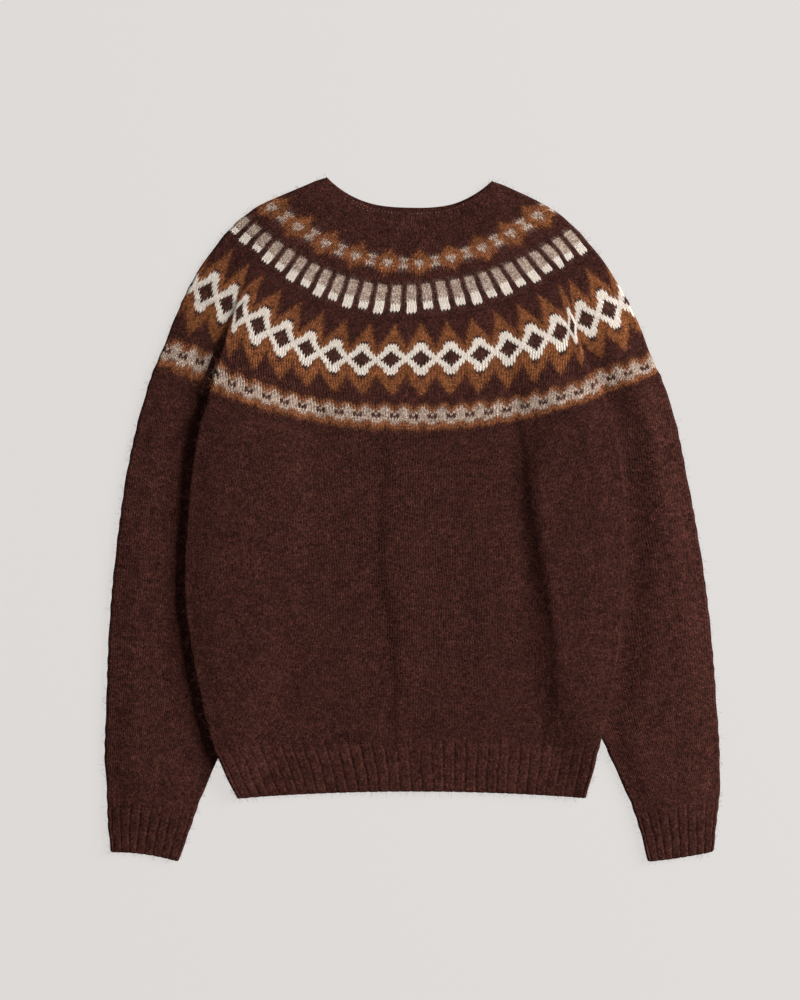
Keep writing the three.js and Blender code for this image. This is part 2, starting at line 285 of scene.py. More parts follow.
def outline_distance(table, x, y):
    """Distance outside a tube's outline, 0 inside it."""
    outline = np.concatenate([table[:, 0:2], table[::-1, 2:4]])
    nearest = np.full(x.shape, 1e9)
    inside = np.zeros(x.shape, bool)
    for (ax, ay), (bx, by) in zip(outline, np.roll(outline, -1, axis=0)):
        share = ((x - ax) * (bx - ax) + (y - ay) * (by - ay)) / ((bx - ax) ** 2 + (by - ay) ** 2)
        t = np.clip(share, 0, 1)
        nearest = np.minimum(nearest, np.hypot(x - ax - t * (bx - ax), y - ay - t * (by - ay)))
        if ay != by:
            crosses = ((ay > y) != (by > y)) & (x < ax + (bx - ax) * (y - ay) / (by - ay))
            inside ^= crosses
    return np.where(inside, 0, nearest)


def cover_lift(x, y):
    """How far the body is lifted by the sleeve that it lies on."""
    apart = np.minimum(outline_distance(SLEEVE_RIGHT_ROWS, x, y),
                       outline_distance(SLEEVE_LEFT_ROWS, x, y))
    upper = UPPER_LEFT_LIFT * smooth(y, *UPPER_LIFT_ABOVE)
    extra = (LEFT_LIFT + upper) * smooth(-x, *LEFT_LIFT_ACROSS)
    gentler = np.maximum(smooth(-y, *GENTLER_BELOW), smooth(-x, *GENTLER_ON_LEFT))
    slope = COVER_SLOPE + GENTLER_SLOPE * gentler
    return (COVER_LIFT + extra) * (1 - smooth(apart, COVER_MARGIN, COVER_MARGIN + slope))


def yoke_edge(x):
    return YOKE_EDGE_Y + YOKE_EDGE_BEND * (x - YOKE_EDGE_X) ** 2


def puff_beside_body(distance, x):
    """How much of its puff a sleeve has at a distance from the body."""
    reach = np.where(x < 0, RIGHT_SLEEVE_PUFF_REACH, SLEEVE_PUFF_REACH)
    return smooth(distance, SLEEVE_PUFF_START, reach)


def crease_depth(x, y):
    depth = np.zeros(x.shape)
    for path in CREASES:
        middle, height, width, deep = np.array(path).T
        across = (x - np.interp(y, height, middle)) / np.interp(y, height, width)
        wave = np.tanh(CREASE_STEEPNESS * across) * np.exp(-((across / CREASE_REACH) ** 2))
        depth -= np.interp(y, height, deep) * wave
    return depth


def lumps(x, y):
    """The slight unevenness of wool that has been washed: waves that bend one another."""
    fine = np.sin(x / 9 + 1.3 * np.sin(y / 17)) * np.sin(y / 11 + 1.1 * np.sin(x / 23))
    broad = np.sin((x + y) / 31) * np.sin((x - 1.7 * y) / 43)
    return FINE_LUMP * fine + BROAD_LUMP * broad


def edge_wave(x, y):
    """How far the cloth's edges wander."""
    return EDGE_WAVE * np.sin(y / 3.9 + 2 * np.sin(y / 13) + x / 50)


class Tube:
    """A flattened tube between a left and a right fold, with a front and a back layer."""

    lifts = False
    ribs = 0
    rib_fade = HEM_RIB_FADE
    back_rise = 0

    def __init__(self, table):
        self.table = table
        middle = (table[:, [LEFT_X, LEFT_Y]] + table[:, [RIGHT_X, RIGHT_Y]]) / 2
        steps = np.hypot(*np.diff(middle, axis=0).T)
        self.reach = np.concatenate([[0], np.cumsum(steps)])
        self.length = self.reach[-1]

    def rows(self, along):
        """The rows at distances along the tube."""
        return along_table(self.table, np.interp(along, self.reach, np.arange(len(self.reach))))

    def place(self, rows, s):
        """Points in rows, each at a share s of the way across, seen from above."""
        left, right = rows[:, LEFT_X], rows[:, RIGHT_X]
        x = left + s * (right - left)
        chord = rows[:, LEFT_Y] + s * (rows[:, RIGHT_Y] - rows[:, LEFT_Y])
        return x, chord + rows[:, BEND] * (x - left) * (x - right)

    def lift(self, x, y, rows, s):
        return cover_lift(x, y) if self.lifts else np.zeros(x.shape)

    def surface(self, along, s, side, lining=False):
        """Points at a distance along the tube and a place s across it, in millimetres."""
        along, s = np.broadcast_arrays(np.asarray(along, float), np.asarray(s, float))
        shape = s.shape
        along, s = along.ravel(), s.ravel()
        rows = self.rows(along)
        width = np.hypot(rows[:, RIGHT_X] - rows[:, LEFT_X], rows[:, RIGHT_Y] - rows[:, LEFT_Y])
        inset = WALL / width if lining else 0
        place = inset + (1 - 2 * inset) * s
        x, y = self.place(rows, place)
        x = x + edge_wave(x, y)
        lift = self.lift(x, y, rows, place)
        from_fold = np.minimum(place, 1 - place) * width
        puff = 0
        if side > 0:
            puff = self.puff(x, y, along, rows, place) * smooth(from_fold, 0, PUFF_EDGE)
        if lining:
            closing = smooth(np.minimum(s, 1 - s) * width, 0, 1)
            half = AIR / 2 * closing
            z = lift + LAYER / 2 + (half + LINING_FOLLOWS * puff * closing if side > 0 else -half)
        else:
            round_ = np.sqrt(np.clip(1 - (1 - np.minimum(from_fold / FOLD_RADIUS, 1)) ** 2, 0, 1))
            z = lift + LAYER / 2 + side * LAYER / 2 * round_ + puff
            z = z + side * self.relief(along, s, side) * round_
        if side < 0:
            y = y + self.back_rise * (1 - along / self.length) * 4 * place * (1 - place)
        return np.stack([x, y, z], axis=-1).reshape(*shape, 3)

    def rib_phase(self, s):
        return self.ribs * (s + RIB_SPREAD / (2 * np.pi) * np.sin(2 * np.pi * s))

    def relief(self, along, s, side):
        """Ribs stand out of the front. The back rests on their crests."""
        if not self.ribs:
            return np.zeros(s.shape)
        waver = RIB_WAVER * np.sin(along / 19 + 9 * s)
        waver = waver + RIB_FINE_WAVER * np.sin(along / 7 + 31 * s)
        phase = (self.rib_phase(s) + waver) % 1
        uneven = 1 - np.cos(self.rib_phase(s) * 0.7) * np.cos(2 * np.pi * s)
        strength = 1 - RIB_UNEVENNESS * uneven
        valley = np.exp(-(((phase - 0.5) / RIB_VALLEY) ** 2)) * strength
        fade = smooth(self.below_rib_start(along), *self.rib_fade)
        crest = smooth(self.below_rib_start(along), 0, self.rib_fade[1])
        return RIB_HEIGHT * (crest - fade * valley if side > 0 else -crest * valley)

    def below_rib_start(self, along):
        return along


class Neckband(Tube):
    back_rise = BACK_NECK_RISE

    def place(self, rows, s):
        """The neck's edge is steeper at its ends and flatter in its middle than a parabola."""
        x, y = super().place(rows, s)
        from_middle = np.abs(2 * s - 1)
        at_edge = smooth(rows[:, LEFT_X], NECKBAND_ROWS[-1, LEFT_X], NECKBAND_ROWS[0, LEFT_X])
        return x, y - NECK_SQUARENESS * at_edge * from_middle**2 * (1 - from_middle)

    def puff(self, x, y, along, rows, s):
        return (PUFF + lumps(x, y)) * smooth(along, NECK_PUFF_START, self.length)


class Body(Tube):
    lifts = True
    ribs = HEM_RIBS

    def below_rib_start(self, along):
        return along - self.length

    def puff(self, x, y, along, rows, s):
        above_hem = y - HEM_ROWS[0, LEFT_Y]
        return (PUFF - crease_depth(x, y) + lumps(x, y)) * smooth(above_hem, *HEM_PUFF_FADE)


class Hem(Body):
    def below_rib_start(self, along):
        return along


class Sleeve(Tube):
    def puff(self, x, y, along, rows, s):
        beside_body = puff_beside_body(outline_distance(BODY_ROWS, x, y), x)
        above_cuff = smooth(y, *LEFT_PUFF_ABOVE_CUFF)
        left_puff = LEFT_SLEEVE_PUFF * smooth(x, *LEFT_SLEEVE_ACROSS) * above_cuff
        return (PUFF + lumps(x, y) + left_puff) * beside_body


class Cuff(Tube):
    ribs = CUFF_RIBS
    rib_fade = CUFF_RIB_FADE

    def puff(self, x, y, along, rows, s):
        return (PUFF + lumps(x, y)) * (1 - smooth(along, 0, self.length))


# Places at which the cloth's length across a yoke row is measured
ROW_SAMPLES = 2001


class Yoke(Tube):
    def __init__(self, table):
        middle_x = (table[:, LEFT_X] + table[:, RIGHT_X]) / 2
        chord = (table[:, LEFT_Y] + table[:, RIGHT_Y]) / 2
        middle_y = table[:, 4]
        bend = (chord - middle_y) / (middle_x - table[:, LEFT_X]) ** 2
        super().__init__(np.column_stack([table[:, :4], bend, table[:, 4:]]))
        self.length = middle_y[0] - middle_y[-1]
        self.reach = middle_y[0] - middle_y

    def from_creases(self, rows, s):
        """How far a place is to the right of the left crease and of the right crease."""
        width = rows[:, RIGHT_X] - rows[:, LEFT_X]
        return (s - rows[:, LEFT_CREASE]) * width, (s - rows[:, RIGHT_CREASE]) * width

    def place(self, rows, s):
        x, y = super().place(rows, s)
        left, right = self.from_creases(rows, s)
        past_left = smooth(left, -CREASE_EDGE, CREASE_EDGE)
        past_right = smooth(right, -CREASE_EDGE, CREASE_EDGE)
        outside_left = np.clip(1 + left / DRAWN_OUTSIDE, 0, 1) * (1 - past_left)
        inside_left = np.clip(1 - left / DRAWN_INSIDE, 0, 1) * past_left
        outside_right = np.clip(1 - right / DRAWN_OUTSIDE, 0, 1) * past_right
        sag = np.sin(np.pi * np.clip((left - SAG_START) / SAG_WIDTH, 0, 1))
        y = y + rows[:, LEFT_UP] * outside_left - rows[:, LEFT_DOWN] * inside_left
        y = y + rows[:, RIGHT_UP] * outside_right - rows[:, SAG] * sag
        return x, y

    def inside_creases(self, rows, s):
        """How much the creases count in a row, and how far inside the nearer one a place is."""
        fade = smooth(CREASE_TOP - rows[:, MIDDLE_Y], 0, CREASE_TOP - YOKE_EDGE_Y)
        left, right = self.from_creases(rows, s)
        return fade, np.minimum(left, -right)

    def lift(self, x, y, rows, s):
        """The body's lift at the yoke's end, carried up along the creases, less and less."""
        fade, inside = self.inside_creases(rows, s)
        left, right = self.from_creases(rows, s)
        last = self.table[-1]
        span = last[RIGHT_X] - last[LEFT_X]
        edge_x = np.where(left < -right, last[LEFT_X] + last[LEFT_CREASE] * span + left,
                          last[LEFT_X] + last[RIGHT_CREASE] * span + right)
        return fade * smooth(inside, -CREASE_RISE, 0) * cover_lift(edge_x, yoke_edge(edge_x))

    def puff(self, x, y, along, rows, s):
        fade, inside = self.inside_creases(rows, s)
        beside_body = puff_beside_body(-AWAY_FROM_BODY * inside, x)
        local = np.where(inside > 0, smooth(inside, 0, PUFF_EDGE), beside_body)
        puff = (PUFF - crease_depth(x, y) + lumps(x, y)) * (1 - fade * (1 - local))
        return puff + LEFT_SLEEVE_PUFF * smooth(x, *LEFT_SLEEVE_ACROSS) * fade * beside_body

    def stitch_coordinate(self, along, count, side):
        """Places across a row and the stitch that each is at, counted from the left fold."""
        rows = self.rows(np.array([along]))
        s = np.linspace(0, 1, ROW_SAMPLES)
        width = rows[0, RIGHT_X] - rows[0, LEFT_X]
        x, y = super().place(np.repeat(rows, s.size, axis=0), s)
        cloth = np.concatenate([[0], np.cumsum(np.hypot(np.diff(x), np.diff(y)))])
        cloth = cloth + rows[0, WIDER] * width / (2 * np.pi) * np.sin(2 * np.pi * s)
        if side > 0:
            left, right = self.from_creases(rows, s)
            within = (-SWALLOWED_WITHIN, SWALLOWED_WITHIN)
            cloth = cloth + rows[0, LEFT_SWALLOWED] * smooth(left, *within)
            cloth = cloth + rows[0, RIGHT_SWALLOWED] * smooth(right, *within)
        return s, x, cloth * count / cloth[-1]

    def stitch_places(self, along, count, side, anchor_x, anchor_stitch):
        """Stitch edges and middles across a row, with a stitch's middle at the anchor."""
        s, x, stitch = self.stitch_coordinate(along, count, side)
        if side > 0:
            off = anchor_stitch + 0.5 - np.interp(anchor_x, x, stitch)
            anchor_s = np.interp(anchor_x, x, s)
            stitch = stitch + off * np.sin(np.pi * s) / math.sin(math.pi * anchor_s)
        return np.interp(np.linspace(0, count, 2 * count + 1), stitch, s)


SHARP_DEGREES = 50


class Loft:
    """Collects loops of points and the faces between them."""

    def __init__(self):
        self.points = []
        self.faces = []
        self.corners = []
        self.dyes = []
        self.count = 0
        self.outside = 0

    def loop(self, front, back, u_front, u_back, v_front, v_back):
        """A loop of the front row, then the back row in reverse without its ends."""
        points = np.concatenate([front, back[-2:0:-1]])
        n_front = len(front)
        key = np.concatenate([np.linspace(0, 1, n_front), 1 + np.linspace(0, 1, len(back))[1:-1]])
        u = np.concatenate([u_front, u_front[-1] + u_back[1:]])
        v = np.concatenate([v_front, v_back[-2::-1]])
        start = self.count
        self.points.append(points)
        self.count += len(points)
        ids = np.arange(start, self.count)
        return {"ids": ids, "key": np.append(key, 2), "uv": np.column_stack([u, v])}

    def join(self, a, b, flip=False, dye=None):
        """Faces between two loops: squares where they match, else triangles by key."""
        n, m = len(a["ids"]), len(b["ids"])
        ids = np.concatenate([a["ids"], a["ids"][:1], b["ids"], b["ids"][:1]])
        uv = np.concatenate([a["uv"], b["uv"]])
        if n == m:
            j = np.arange(n)
            k = n + 1 + j
            faces = np.stack([j, k, k + 1, j + 1], axis=1)
        else:
            faces = []
            j, k = 0, n + 1
            while j < n or k < n + 1 + m:
                if k == n + 1 + m or (j < n and a["key"][j + 1] <= b["key"][k - n]):
                    faces.append((j, k, j + 1))
                    j += 1
                else:
                    faces.append((j, k, k + 1))
                    k += 1
            faces = np.array(faces)
        if flip:
            faces = faces[:, ::-1]
        self.faces.append(ids[faces])
        self.corners.append(uv[faces])
        self.dyes.append(np.zeros(len(faces), int) if dye is None else dye)

    def mesh(self, name):
        points = np.concatenate(self.points) * MM
        loops = np.concatenate([faces.ravel() for faces in self.faces])
        sizes = np.concatenate([np.full(len(faces), faces.shape[1]) for faces in self.faces])
        mesh = bpy.data.meshes.new(name)
        mesh.vertices.add(len(points))
        mesh.vertices.foreach_set("co", points.astype(np.float32).ravel())
        mesh.loops.add(len(loops))
        mesh.loops.foreach_set("vertex_index", loops.astype(np.int32))
        mesh.polygons.add(len(sizes))
        starts = np.concatenate([[0], np.cumsum(sizes)[:-1]])
        mesh.polygons.foreach_set("loop_start", starts.astype(np.int32))
        mesh.polygons.foreach_set("loop_total", sizes.astype(np.int32))
        uv = mesh.uv_layers.new(name="stitches")
        corners = np.concatenate([corner.reshape(-1, 2) for corner in self.corners])
        uv.data.foreach_set("uv", corners.astype(np.float32).ravel())
        mesh.update(calc_edges=True)
        mesh.validate()
        mesh.polygons.foreach_set("use_smooth", np.ones(len(sizes), bool))
        mesh.set_sharp_from_angle(angle=math.radians(SHARP_DEGREES))
        return mesh, sizes


def fold_places(width, middle, count=5):
    """Places across a row, close together round both folds."""
    turn = np.linspace(0, np.pi / 2, count)
    fold = FOLD_RADIUS * (1 - np.cos(turn)) / width
    rest = np.linspace(fold[-1], 1 - fold[-1], middle + 1)[1:-1]
    return np.concatenate([fold, rest, 1 - fold[::-1]])


LINING_WIDTH = 300
LINING_COLUMNS = 40
LINING_FOLD_COLUMNS = 3


def add_lining(loft, tube, along):
    """The inside of the tube, coarser than its outside. Returns its loops."""
    loft.outside = sum(len(faces) for faces in loft.faces)
    loops = []
    places = fold_places(LINING_WIDTH, LINING_COLUMNS, LINING_FOLD_COLUMNS)
    for distance in along:
        spot = np.full(places.shape, distance)
        front = tube.surface(spot, places, 1, lining=True)
        back = tube.surface(spot, places, -1, lining=True)
        u = places * LINING_WIDTH / STITCH_WIDTH
        v = spot / STITCH_HEIGHT
        loops.append(loft.loop(front, back, u, u, v, v))
    for a, b in zip(loops, loops[1:]):
        loft.join(a, b, flip=True)
    return loops


RIM_STEPS = 6


def rim_rows(loft, tube, distance, places_front, places_back, towards, uv):
    """Rows that turn the wall's edge over, from its outside to its inside."""
    rows = []
    for turn in np.linspace(0, np.pi, RIM_STEPS + 1)[1:]:
        layers = []
        for places, side in ((places_front, 1), (places_back, -1)):
            spot = np.full(places.shape, distance)
            outer = tube.surface(spot, places, side)
            inner = tube.surface(spot, places, side, lining=True)
            half = (outer - inner) / 2
            reach = np.linalg.norm(half, axis=1)
            ring = (outer + inner) / 2 + half * math.cos(turn)
            ring[:, 1] += towards * reach * math.sin(turn)
            layers.append(ring)
        rows.append(loft.loop(layers[0], layers[1], *uv))
    return rows


def add_object(name, data):
    made = bpy.data.objects.new(name, data)
    bpy.context.scene.collection.objects.link(made)
    return made


def add_piece(name, mesh, material):
    piece = add_object(name, mesh)
    mesh.materials.append(material)
    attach(piece, "root")
    return piece


def replace_node(name, mesh, material, outside):
    """Shows a piece in place of its node, and notes how many of its first faces are outer."""
    piece = add_piece(name, mesh, material)
    piece["outside"] = outside
    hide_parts(name)
    return piece


def knit_tube(name, tube, material, columns, back_columns, row_step, rim, end_columns):
    """A piece in one colour. rim is None, "start" or "end". The front may have more columns
    where its ribs begin, near its end."""
    loft = Loft()
    rim_depth = WALL / 2
    start = rim_depth if rim == "start" else 0
    end = tube.length - (rim_depth if rim == "end" else 0)
    count = max(2, round((end - start) / row_step))
    width = np.hypot(*(tube.table[0, [RIGHT_X, RIGHT_Y]] - tube.table[0, [LEFT_X, LEFT_Y]]))
    front, back = fold_places(width, columns), fold_places(width, back_columns)

    def stitches(distance):
        """The stitches and the rows at which the front's and the back's places are."""
        if tube.ribs:
            across = [RIB_STITCHES * tube.rib_phase(places) for places in (front, back)]
        else:
            across = [places * width / STITCH_WIDTH for places in (front, back)]
        return *across, *(np.full(u.shape, distance / STITCH_HEIGHT) for u in across)

    loops = []
    for distance in np.linspace(start, end, count + 1):
        if end_columns and end - distance < -HEM_RIB_FADE[0]:
            front = fold_places(width, end_columns)
        loops.append(loft.loop(
            tube.surface(np.full(front.shape, distance), front, 1),
            tube.surface(np.full(back.shape, distance), back, -1), *stitches(distance)))
    if rim == "start":
        loops = rim_rows(loft, tube, start, front, back, 1, stitches(0))[::-1] + loops
    if rim == "end":
        loops = loops + rim_rows(loft, tube, end, front, back, -1, stitches(tube.length))
    for a, b in zip(loops, loops[1:]):
        loft.join(a, b)
    lining = add_lining(loft, tube, np.linspace(start, end, max(3, round(count / 4))))
    loft.join(loops[0], lining[0], flip=True)
    loft.join(loops[-1], lining[-1])
    mesh, _ = loft.mesh(name)
    return replace_node(name, mesh, material, loft.outside)


# Dyes, in the order of DYE_LETTERS
DYE_LETTERS = ".owck"
DYE_COLORS = np.array([linear(c) for c in (BROWN, OCHRE, HEATHER, CREAM, DARK)])


def diamond_dye(row, d):
    """The dye of a stitch d from a diamond's middle, in a row of the diamond band."""
    if d <= DARK_CENTRE.get(row - DIAMOND_MIDDLE, -1):
        return "k"
    from_middle = abs(row - DIAMOND_MIDDLE)
    if from_middle < len(CREAM_OUTER) and d <= CREAM_OUTER[from_middle]:
        return "c"
    if row in DARK_SPOTS and d <= DARK_SPOTS[row]:
        return "k"
    if row < DIAMOND_MIDDLE:
        return "o" if d <= OCHRE_ABOVE[row] else "."
    below = row - DIAMOND_MIDDLE - 1
    return "o" if 0 <= below < len(OCHRE_BELOW) and d <= OCHRE_BELOW[below] else "."


def chart_dye(band, row, stitch):
    """The dye of a stitch, counted from the middle of a motif."""
    period = PERIODS[band]
    d = min(stitch % period, -stitch % period)
    if band == "bars":
        bar = SHORT_BAR if round(stitch / period) % 2 else LONG_BAR
        return "." if d > BAR_HALF_WIDTH else bar[row]
    if band == "diamonds":
        return diamond_dye(row, d)
    return (SPOTS if band == "spots" else FLECKS)[row][d]


# How far a stitch's middle lies below its sides, as a share of its height
TOOTH = 0.85
YOKE_LINING_ROWS = 24


def knit_yoke(name, tube, material):
    """The yoke, stitch by stitch: each stitch is two slanted faces in one dye."""
    loft = Loft()
    loops = []
    anchor_stitch = BANDS[0][3] // 2
    ends = [band[1] for band in BANDS[1:]] + [YOKE_EDGE_Y]
    total_rows = sum(band[2] for band in BANDS)
    for (band, top, count, front_count, back_count, anchor), end in zip(BANDS, ends):
        step = (top - end) / count
        if band != "plain":
            _, x, stitch = tube.stitch_coordinate(BANDS[0][1] - top, front_count, 1)
            anchor_stitch = int(np.interp(anchor, x, stitch))
        for row in range(count + (end == YOKE_EDGE_Y)):
            along = BANDS[0][1] - top + step * row
            tooth = 0 if len(loops) in (0, total_rows) else TOOTH * step
            layers, us, vs = [], [], []
            for stitches, side in ((front_count, 1), (back_count, -1)):
                places = tube.stitch_places(along, stitches, side, anchor, anchor_stitch)
                odd = np.arange(places.size) % 2
                layers.append(tube.surface(along + tooth * odd, places, side))
                us.append(np.arange(places.size) / 2)
                vs.append(np.full(places.size, float(len(loops))))
            loop = loft.loop(layers[0], layers[1], us[0], us[1], vs[0], vs[1])
            loops.append((loop, band, row, front_count + back_count, anchor_stitch))
    for (a, band, row, total, anchor_stitch), (b, *_) in zip(loops, loops[1:]):
        dye = None
        if band != "plain" and len(a["ids"]) == len(b["ids"]):
            line = [DYE_LETTERS.index(chart_dye(band, row, i - anchor_stitch))
                    for i in range(total)]
            dye = np.repeat(line, 2)
        loft.join(a, b, dye=dye)
    first, last = loops[0][0], loops[-1][0]
    lining = add_lining(loft, tube, np.linspace(0, tube.length, YOKE_LINING_ROWS))
    loft.join(first, lining[0], flip=True)
    loft.join(last, lining[-1])
    mesh, sizes = loft.mesh(name)
    dyes = np.concatenate(loft.dyes)
    color_faces(mesh, "dye", dyes, sizes, 1, SHARP_SOFTNESS)
    color_faces(mesh, "dye spread", dyes, sizes, 2, 1)
    return replace_node(name, mesh, material, loft.outside)


# How strongly a brushed yarn shows in the yarns round it, where brown and grey count 1
CREAM_SPREAD = 0.06
OCHRE_SPREAD = 2.2

# How much of its own dye a yarn keeps among the others
CREAM_KEEPS = 0.85
DARK_KEEPS = 0.7
SHARP_SOFTNESS = 0.15


def color_faces(mesh, name, dyes, sizes, rounds, softness):
    """Gives each face its dye, mixed at the corners with the brushed yarns round it."""
    faces = DYE_COLORS[dyes].copy()
    faces[:, 3] = dyes == DYE_LETTERS.index("w")
    ochre, cream, dark = (np.repeat(dyes == DYE_LETTERS.index(letter), sizes) for letter in "ock")
    corners = np.repeat(faces, sizes, axis=0)
    vertex = np.zeros(len(mesh.loops), np.int32)
    mesh.loops.foreach_get("vertex_index", vertex)
    weight = np.where(cream, CREAM_SPREAD, np.where(ochre, OCHRE_SPREAD, 1.0))[:, None]
    starts = np.concatenate([[0], np.cumsum(sizes)[:-1]])
    mixed = corners
    for _ in range(rounds):
        total = np.zeros((len(mesh.vertices), 5))
        np.add.at(total, vertex, np.hstack([mixed * weight, weight]))
        at_corners = (total[:, :4] / total[:, 4:])[vertex]
        face_means = np.add.reduceat(at_corners, starts) / sizes[:, None]
        mixed = np.repeat(face_means, sizes, axis=0)
        mixed[cream] = corners[cream]
        mixed[dark] += DARK_KEEPS * (corners - mixed)[dark]
    at_corners[cream] += CREAM_KEEPS * (corners - at_corners)[cream]
    at_corners[dark] += DARK_KEEPS * (corners - at_corners)[dark]
    attribute = mesh.color_attributes.new(name, "FLOAT_COLOR", "CORNER")
    blend = corners * (1 - softness) + at_corners * softness
    attribute.data.foreach_set("color", blend.astype(np.float32).ravel())


def set_inputs(node, **levels):
    """Sets a node's sockets, whose names have underlines here for their spaces."""
    for socket, level in levels.items():
        node.inputs[socket.replace("_", " ")].default_value = level


# Normals less upright than the second of STEEP are turned up, by FOLD_SOFTNESS at the first.
STEEP = (0.55, 0.96)
FOLD_SOFTNESS = 0.9


class Nodes:
    """Short calls for building a material's nodes."""

    def __init__(self, name):
        self.material = bpy.data.materials.new(name)
        self.material.use_nodes = True
        self.tree = self.material.node_tree
        self.shader = self.tree.nodes["Principled BSDF"]

    def node(self, kind):
        return self.tree.nodes.new("ShaderNode" + kind)

    def attribute(self, name):
        node = self.node("Attribute")
        node.attribute_name = name
        return node.outputs

    def matt(self, shine=0.0):
        set_inputs(self.shader, Roughness=1.0, Specular_IOR_Level=shine)

    def link(self, value, socket):
        if isinstance(value, (int, float, tuple)):
            socket.default_value = value
        else:
            self.tree.links.new(value, socket)

    def math(self, operation, *values):
        node = self.node("Math")
        node.operation = operation
        for value, socket in zip(values, node.inputs):
            self.link(value, socket)
        return node.outputs[0]

    def noise(self, scale, detail=2.0, rough=0.5, vector=None):
        node = self.node("TexNoise")
        set_inputs(node, Scale=scale, Detail=detail, Roughness=rough)
        self.link(vector or self.position, node.inputs["Vector"])
        return node.outputs["Fac"]

    def ramp(self, value, low, high, out_low, out_high):
        node = self.node("MapRange")
        set_inputs(node, From_Min=low, From_Max=high, To_Min=out_low, To_Max=out_high)
        self.link(value, node.inputs["Value"])
        return node.outputs["Result"]

    def patches(self, scale, detail, rough, low, high, out_low=0, out_high=1):
        return self.ramp(self.noise(scale, detail, rough), low, high, out_low, out_high)

    def mix(self, factor, a, b, blend="MIX"):
        node = self.node("Mix")
        node.data_type = "RGBA"
        node.blend_type = blend
        self.link(factor, node.inputs[0])
        self.link(a, node.inputs[6])
        self.link(b, node.inputs[7])
        return node.outputs[2]

    def softened(self, normal):
        """Nap scatters light round a fold, so a steep place is lit more like a flat one."""
        geometry = self.node("NewGeometry")
        split = self.node("SeparateXYZ")
        self.link(geometry.outputs["Normal"], split.inputs[0])
        upright = self.node("CombineXYZ")
        self.link(self.math("SIGN", split.outputs[2]), upright.inputs[2])
        steep = self.ramp(self.math("ABSOLUTE", split.outputs[2]), *STEEP, FOLD_SOFTNESS, 0)
        mix = self.node("Mix")
        mix.data_type = "VECTOR"
        self.link(steep, mix.inputs[0])
        self.link(normal, mix.inputs[4])
        self.link(upright.outputs[0], mix.inputs[5])
        unit = self.node("VectorMath")
        unit.operation = "NORMALIZE"
        self.link(mix.outputs[1], unit.inputs[0])
        return unit.outputs[0]

    def scaled(self, color, factor):
        node = self.node("VectorMath")
        node.operation = "SCALE"
        self.link(color, node.inputs[0])
        self.link(factor, node.inputs["Scale"])
        return node.outputs[0]


# Columns: noise scale, detail, roughness, noise from and to, tone from and to
TONES = (
    (560, 3.0, 0.7, 0.32, 0.68, 0.3, 1.75),
    (330, 2.0, 0.6, 0.3, 0.7, 0.6, 1.4),
    (90, 3.0, 0.6, 0.3, 0.7, 0.78, 1.22),
    (24, 2.0, 0.5, 0.3, 0.7, 0.93, 1.07),
)
BRUSHED = (700, 2.0, 0.6, 0.4, 0.6)
HEATHER_MIX = (640, 2.0, 0.6, 0.38, 0.62)
PALE_CALM = (0.05, 0.6, 0, 0.8)
STITCH_TONES = (0.7, 1.3)
# Painted shade darkens the valleys between a stitch's strands and painted light brightens their
# crests, as shares of the yarn's colour
PAINTED_VALLEY_SHADE = 0.38
PAINTED_STRAND_LIGHT = 0.15

# Coloured fibres. Columns: noise scale, pattern scale, strength, brightness, tint, share
# that is left on pale yarn
FIBRES = (
    (380, 1.0, 0.8, 1.6, (1.0, 0.68, 0.55, 1), 0.15),
    (300, 1.37, 0.7, 1.3, (0.8, 1.0, 1.15, 1), 0.3),
)
FIBRE_NOISE = (0.56, 0.7)
FIBRES_FADE = (0.03, 0.12)

# The grey yarn is spun from pale and brown wool.
HEATHER_PALE = (226, 207, 190)
HEATHER_BROWN = (128, 94, 78)
HEATHER_SHARE = 0.6

# Columns: noise scale, detail, roughness, height
NAP_BUMP = (1300, 3.0, 0.7, 0.5)
FELT_BUMP = (330, 2.0, 0.6, 1.2)
STITCH_BUMP = 0.8
BUMP_STRENGTH = 0.9
BUMP_DEPTH = 0.8
SHEEN = 0.14
SHEEN_ROUGHNESS = 0.6
SHEEN_TINT = (150, 100, 84)
SHINE = 0.05


